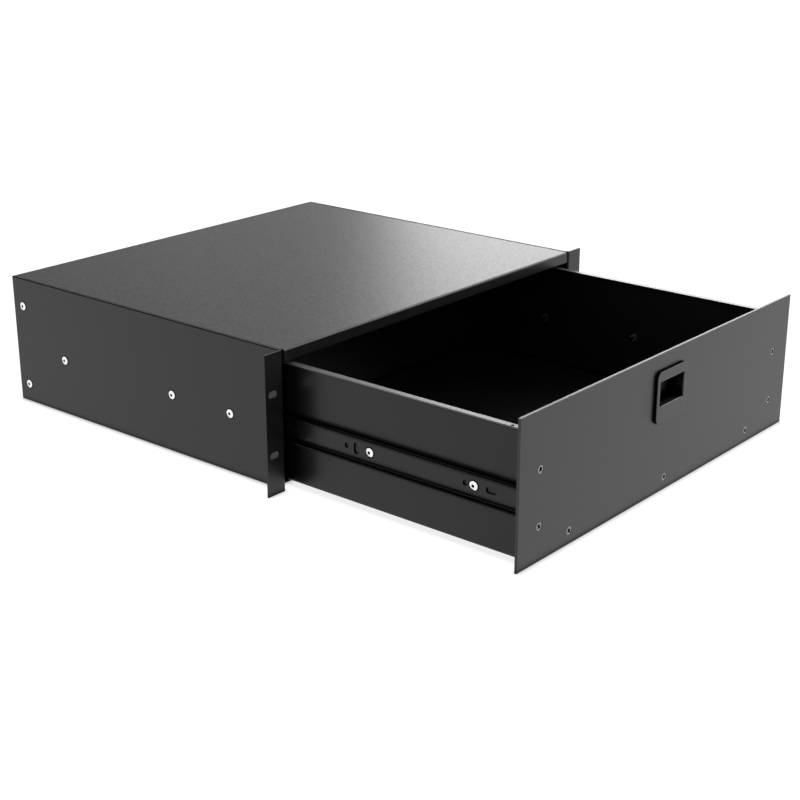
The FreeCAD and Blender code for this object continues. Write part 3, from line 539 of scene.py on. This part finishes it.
def screw_tree():
    """Geometry nodes that set one screw on every point, facing outward."""
    tree = bpy.data.node_groups.new("screws_on_points", "GeometryNodeTree")
    for name, kind in (("Points", "Geometry"), ("Screw", "Object"), ("Finish", "Material"),
                       ("First Turn", "Float"), ("Turn Spread", "Float"), ("Seed", "Int")):
        tree.interface.new_socket(name, in_out="INPUT", socket_type="NodeSocket" + kind)
    tree.interface.new_socket("Screws", in_out="OUTPUT", socket_type="NodeSocketGeometry")
    given = add_node(tree, "NodeGroupInput").outputs
    facing = add_node(tree, "GeometryNodeInputNamedAttribute", {"data_type": "FLOAT_VECTOR"},
                      {"Name": "facing"})
    toward = add_node(tree, "FunctionNodeAlignRotationToVector", {"axis": "Z"},
                      {"Vector": facing.outputs["Attribute"]})
    screw = add_node(tree, "GeometryNodeObjectInfo", inputs={"Object": given["Screw"]})
    placed = add_node(tree, "GeometryNodeInstanceOnPoints", inputs={
        "Points": given["Points"], "Instance": screw.outputs["Geometry"],
        "Rotation": toward.outputs["Rotation"]})
    # A share from -1 to 1 of the turn's spread, drawn for each screw.
    share = add_node(tree, "FunctionNodeRandomValue", {"data_type": "FLOAT"})
    tree.links.new(given["Seed"], share.inputs["Seed"])
    low, high = [end for end in share.inputs if end.name in ("Min", "Max") and end.enabled]
    low.default_value = -1.0
    high.default_value = 1.0
    drawn = [end for end in share.outputs if end.enabled][0]
    turn = add_node(tree, "ShaderNodeMath", {"operation": "MULTIPLY_ADD"},
                    {0: drawn, 1: given["Turn Spread"], 2: given["First Turn"]})
    about = add_node(tree, "ShaderNodeCombineXYZ", inputs={"Z": turn.outputs["Value"]})
    turned_screws = add_node(tree, "GeometryNodeRotateInstances", inputs={
        "Instances": placed.outputs["Instances"], "Rotation": about.outputs["Vector"],
        "Local Space": True})
    solid = add_node(tree, "GeometryNodeRealizeInstances", inputs={
        "Geometry": turned_screws.outputs["Instances"]})
    finished = add_node(tree, "GeometryNodeSetMaterial", inputs={
        "Geometry": solid.outputs["Geometry"], "Material": given["Finish"]})
    output = add_node(tree, "NodeGroupOutput")
    tree.links.new(finished.outputs["Geometry"], output.inputs["Screws"])
    return tree


def loose_parts(node):
    """(lowest corner, highest corner) of every separate solid in a CAD node."""
    shape = bmesh.new()
    shape.from_mesh(nodes[node].data)
    bmesh.ops.remove_doubles(shape, verts=shape.verts, dist=0.01 * MM)
    unseen = set(shape.verts)
    parts = []
    while unseen:
        waiting = [unseen.pop()]
        low = waiting[0].co.copy()
        high = waiting[0].co.copy()
        while waiting:
            vertex = waiting.pop()
            low = Vector(map(min, low, vertex.co))
            high = Vector(map(max, high, vertex.co))
            linked = {edge.other_vert(vertex) for edge in vertex.link_edges} & unseen
            unseen -= linked
            waiting.extend(linked)
        parts.append((low, high))
    shape.free()
    return parts


screws_on_points = screw_tree()


def set_screws(node, body, points, facing, screw, first_turn, spread, seed):
    """One mesh of screws on the points, which stands for a CAD node; turns in degrees."""
    mesh = bpy.data.meshes.new(node + "_points")
    mesh.from_pydata([tuple(point) for point in points], [], [])
    attribute = mesh.attributes.new("facing", "FLOAT_VECTOR", "POINT")
    for i, direction in enumerate(facing):
        attribute.data[i].vector = direction
    carrier = new_object(node + "_points", mesh)
    slot = slot_of_node[node]
    values = {"Screw": screw, "Finish": finishes[slot], "First Turn": math.radians(first_turn),
              "Turn Spread": math.radians(spread), "Seed": seed}
    modifier = carrier.modifiers.new("screws", "NODES")
    modifier.node_group = screws_on_points
    for item in screws_on_points.interface.items_tree:
        if item.in_out == "INPUT" and item.name in values:
            modifier[item.identifier] = values[item.name]
    piece = new_piece(node + "_detailed", plain_mesh(carrier, node + "_detailed"), finishes[slot])
    bpy.data.objects.remove(carrier)
    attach(piece, body)
    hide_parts(node)


def side_screws(node, body, seed):
    """Pan-head screws through the side walls, on both sides, at any turn."""
    seats, facing, grip = [], [], 0
    for low, high in loose_parts(node):
        side = 1 if low.x > 0 else -1
        centre = (low + high) / 2
        top = high.x if side > 0 else low.x
        seats.append(Vector((top - side * SEAT_DEPTH * MM, centre.y, centre.z)))
        facing.append(Vector((side, 0, 0)))
        grip = (high.x - low.x) / MM - SEAT_DEPTH
    screw = cut_screw(node + "_pattern", pan_profile(grip), PAN_HEAD_D / 2, hexagon_socket())
    set_screws(node, body, seats, facing, screw, first_turn=0, spread=180, seed=seed)
    bpy.data.objects.remove(screw)


def panel_face_screws():
    """Countersunk screws in the front panel, all driven to about the same turn."""
    tops, facing, grip = [], [], 0
    for low, high in loose_parts("panel_screws"):
        centre = (low + high) / 2
        tops.append(Vector((centre.x, low.y, centre.z)))
        facing.append(Vector((0, -1, 0)))
        grip = max(grip, (high.y - low.y) / MM)
    screw = cut_screw("panel_screws_pattern", flat_profile(grip), FLAT_FACE_D / 2, cross_recess())
    set_screws("panel_screws", "drawer", tops, facing, screw, first_turn=40, spread=12, seed=7)
    bpy.data.objects.remove(screw)


side_screws("slide_mount_screws", "housing", seed=3)
side_screws("rear_panel_screws", "housing", seed=4)
side_screws("inner_slide_screws", "drawer", seed=5)
panel_face_screws()


# ---- floor, world, lamps and camera --------------------------------------------------
# Places and sizes here are in metres.
CONTACT_REACH = 6.5 * MM        # the floor's contact shadow ends this far out
FLOOR_GAP = 0.1 * MM            # between the floor and the lowest part of the drawer
FLOOR_SIDE = 16.0
WHITE = "#ffffff"
SKY_STRENGTH = 0.85


def seen_directly(tree):
    """1 for rays from the camera and for reflected and refracted ones, else 0."""
    path = add_node(tree, "ShaderNodeLightPath").outputs
    mirrored_or_seen = add_node(tree, "ShaderNodeMath", {"operation": "MAXIMUM"},
                                {0: path["Is Camera Ray"], 1: path["Is Glossy Ray"]})
    either = add_node(tree, "ShaderNodeMath", {"operation": "MAXIMUM"}, {
        0: mirrored_or_seen.outputs["Value"], 1: path["Is Transmission Ray"]})
    return either.outputs["Value"]


def flat_sheet(name, to_place):
    """A mesh of one square, 1 m a side before the matrix brings it to its place."""
    shape = bmesh.new()
    bmesh.ops.create_grid(shape, x_segments=1, y_segments=1, size=0.5)
    shape.transform(to_place)
    return mesh_of(shape, name)


def turned_to(aim, place):
    """The turn that points -Z from a place to an aim."""
    return (Vector(aim) - Vector(place)).to_track_quat("-Z", "Y")


def studio_floor():
    """White paper sweep, white where it is seen but for a thin shadow at each contact."""
    material, tree, output = new_material("white_paper_sweep")
    paper = add_node(tree, "ShaderNodeBsdfDiffuse", inputs={"Color": linear("#f4f4f4")})
    contact = add_node(tree, "ShaderNodeAmbientOcclusion", {"samples": 8},
                       {"Distance": CONTACT_REACH})
    shade = add_node(tree, "ShaderNodeMapRange", inputs={
        "Value": contact.outputs["AO"], "From Min": 0.35, "From Max": 0.96,
        "To Min": 0.45, "To Max": 1.0})
    glow = add_node(tree, "ShaderNodeEmission", inputs={
        "Color": linear(WHITE), "Strength": shade.outputs["Result"]})
    faint = add_node(tree, "ShaderNodeBsdfDiffuse", inputs={"Color": linear("#595959")})
    seen = add_node(tree, "ShaderNodeAddShader", inputs={
        0: faint.outputs["BSDF"], 1: glow.outputs["Emission"]})
    mixed = add_node(tree, "ShaderNodeMixShader", inputs={
        "Fac": seen_directly(tree), 1: paper.outputs["BSDF"], 2: seen.outputs["Shader"]})
    tree.links.new(mixed.outputs["Shader"], output.inputs["Surface"])
    side = Matrix.Diagonal((FLOOR_SIDE, FLOOR_SIDE, 1, 1))
    mesh = flat_sheet("studio_floor", Matrix.Translation((0, 0, cad_box[0][2] - FLOOR_GAP)) @ side)
    new_piece("studio_floor", mesh, material)


def studio_world():
    """White where it is seen, and a plain grey sky as a light."""
    world = bpy.data.worlds.new("studio")
    world.use_nodes = True
    world.node_tree.nodes.clear()
    tree = world.node_tree
    sky = add_node(tree, "ShaderNodeBackground", inputs={
        "Color": linear(WHITE), "Strength": SKY_STRENGTH})
    white = add_node(tree, "ShaderNodeBackground", inputs={
        "Color": linear(WHITE), "Strength": 1.0})
    mixed = add_node(tree, "ShaderNodeMixShader", inputs={
        "Fac": seen_directly(tree), 1: sky.outputs["Background"], 2: white.outputs["Background"]})
    output = add_node(tree, "ShaderNodeOutputWorld")
    tree.links.new(mixed.outputs["Shader"], output.inputs["Surface"])
    bpy.context.scene.world = world


def softbox(name, place, aim, width, height, watts):
    """A rectangular area lamp that faces its aim."""
    lamp = bpy.data.lights.new(name, "AREA")
    lamp.shape = "RECTANGLE"
    lamp.size = width
    lamp.size_y = height
    lamp.energy = watts
    box = new_object(name, lamp)
    box.location = place
    box.rotation_euler = turned_to(aim, place).to_euler()


def grey_card(place, aim, width, height):
    """A grey card beside the softbox, seen only in reflections, that shades the rear of the top."""
    material, tree, output = new_material("grey_card")
    card = add_node(tree, "ShaderNodeBsdfDiffuse", inputs={"Color": linear("#b6b6b6")})
    tree.links.new(card.outputs["BSDF"], output.inputs["Surface"])
    turn = turned_to(aim, place).to_matrix().to_4x4()
    size = Matrix.Diagonal((width, height, 1, 1))
    mesh = flat_sheet("grey_card", Matrix.Translation(place) @ turn @ size)
    piece = new_piece("grey_card", mesh, material)
    piece.visible_camera = False
    piece.visible_diffuse = False
    piece.visible_shadow = False


def studio_camera(place, azimuth, fall, roll, focal_length):
    """Camera; azimuth is from +Y towards +X, fall is below the horizon, all in degrees."""
    along = math.radians(azimuth)
    down = math.radians(fall)
    forward = Vector((math.sin(along) * math.cos(down), math.cos(along) * math.cos(down),
                      -math.sin(down)))
    lens = bpy.data.cameras.new("camera")
    lens.lens = focal_length
    lens.sensor_width = 36.0
    lens.clip_start = 0.05
    camera = new_object("camera", lens)
    camera.location = place
    tilt = Matrix.Rotation(math.radians(roll), 3, "Z").to_quaternion()
    camera.rotation_euler = (forward.to_track_quat("-Z", "Y") @ tilt).to_euler()
    bpy.context.scene.camera = camera


studio_floor()
studio_world()
grey_card(place=(0.9, 2.02, 0.85), aim=(0, 0.1, 0.07), width=2.14, height=1.8)
# Low behind the far side: its reflection slants across the top cover.
softbox("sheen_softbox", place=(2.2, 1.15, 0.75), aim=(0.1, 0.0, 0.05), width=2.0, height=1.0,
        watts=23)
# High at the right front: it lights the front panel.
softbox("front_softbox", place=(1.8, -0.9, 1.55), aim=(0, -0.2, 0), width=1.0, height=0.8,
        watts=22)
studio_camera(place=(-1.1327, -0.9039, 0.48585), azimuth=49.905, fall=20.003, roll=-0.07,
              focal_length=69.94)
bpy.context.scene.view_settings.view_transform = "Standard"
